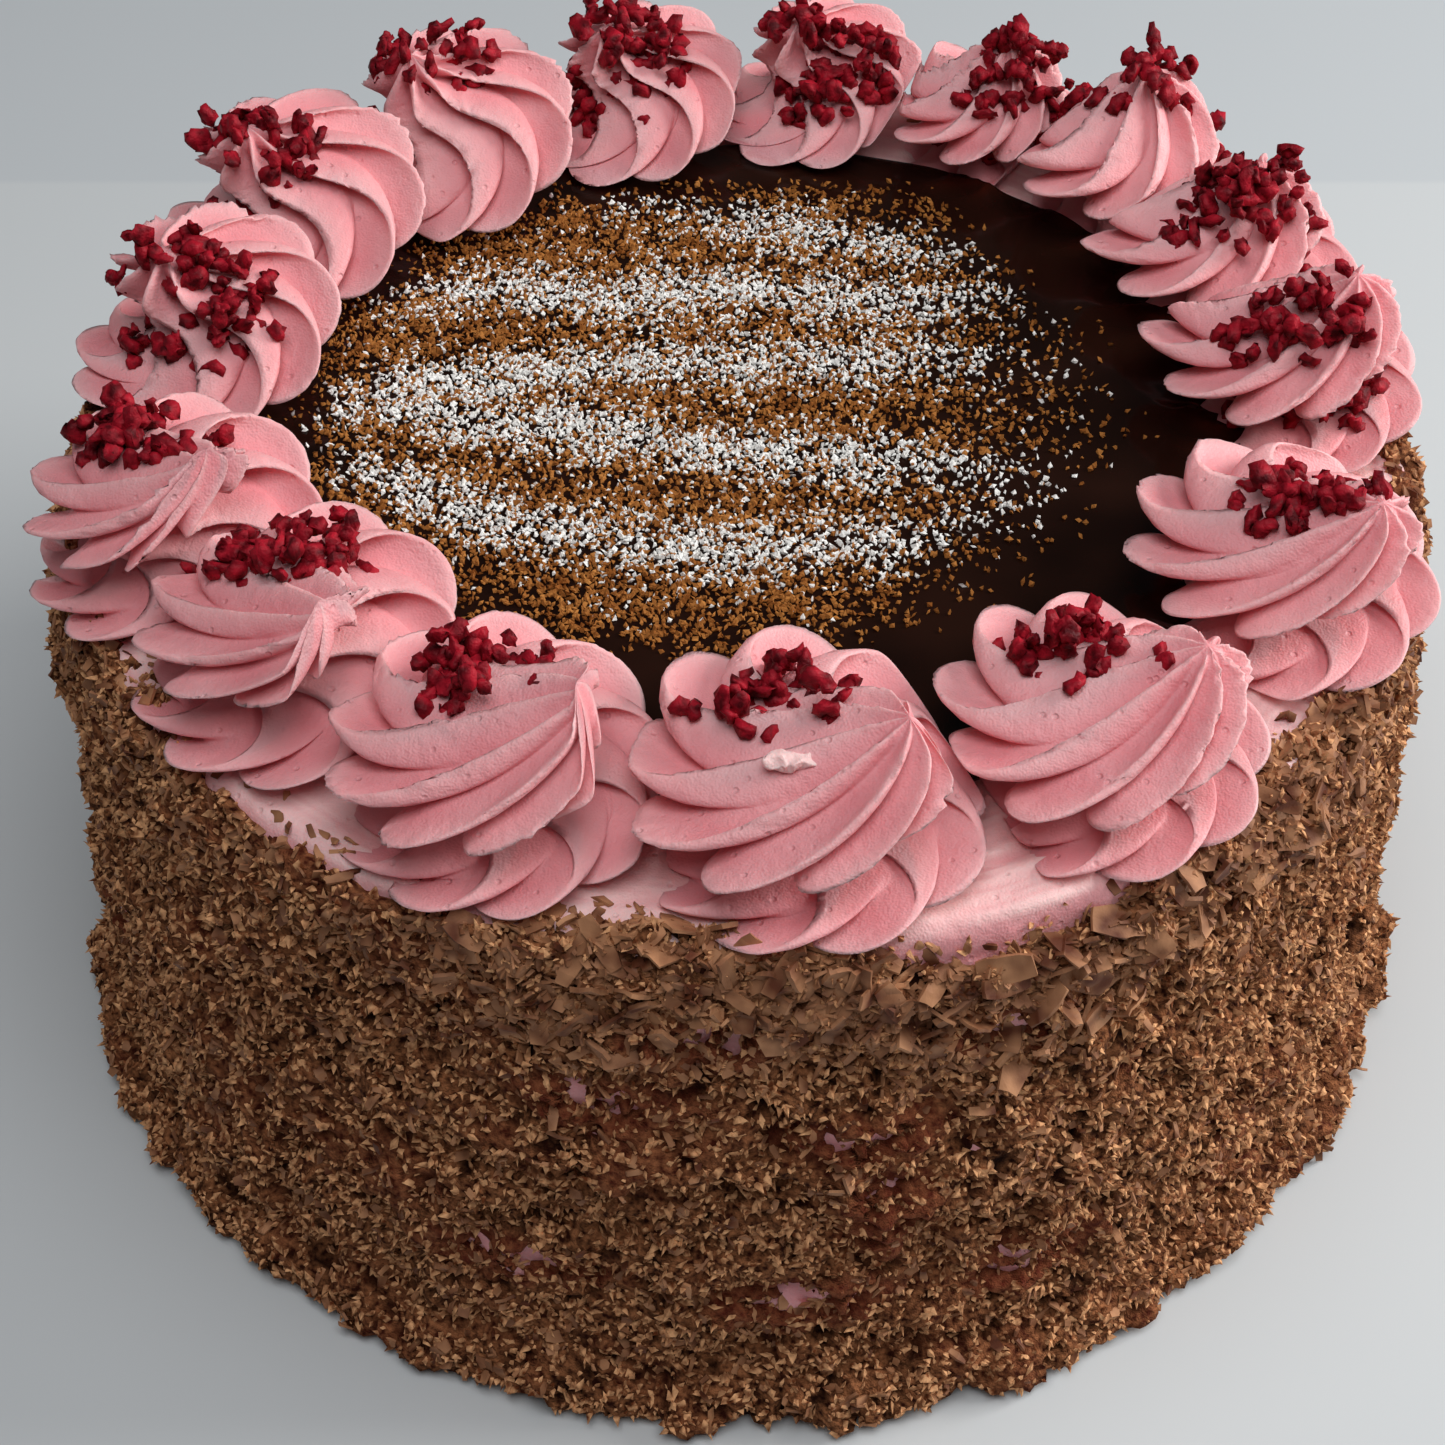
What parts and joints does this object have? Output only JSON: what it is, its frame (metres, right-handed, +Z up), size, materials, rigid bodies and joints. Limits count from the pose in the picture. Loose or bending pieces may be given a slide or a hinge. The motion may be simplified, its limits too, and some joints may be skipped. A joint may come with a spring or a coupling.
{
  "type": "chocolate cake",
  "caption": "Round uncut celebration cake with grated chocolate on its side, a pool of dark glaze on top and a ring of piped buttercream rosettes.",
  "frame": {"origin": "centre of the underside, on the surface that the cake stands on", "axes": "+Z up, -Y towards the front as in the picture, +X to the right"},
  "size_m": [0.2484, 0.249, 0.1398],
  "materials": {
    "chocolate_coat": "matt grated milk chocolate on pink buttercream",
    "buttercream": "smooth pink whipped buttercream, satin",
    "glaze": "wet dark chocolate glaze, very glossy"
  },
  "bodies": {
    "root": {"cake_body": "chocolate_coat", "chocolate_glaze": "glaze", "rosette_01": "buttercream", "rosette_02": "buttercream", "rosette_03": "buttercream", "rosette_04": "buttercream", "rosette_05": "buttercream", "rosette_06": "buttercream", "rosette_07": "buttercream", "rosette_08": "buttercream", "rosette_09": "buttercream", "rosette_10": "buttercream", "rosette_11": "buttercream", "rosette_12": "buttercream", "rosette_13": "buttercream", "rosette_14": "buttercream", "rosette_15": "buttercream"}
  },
  "joints": []
}
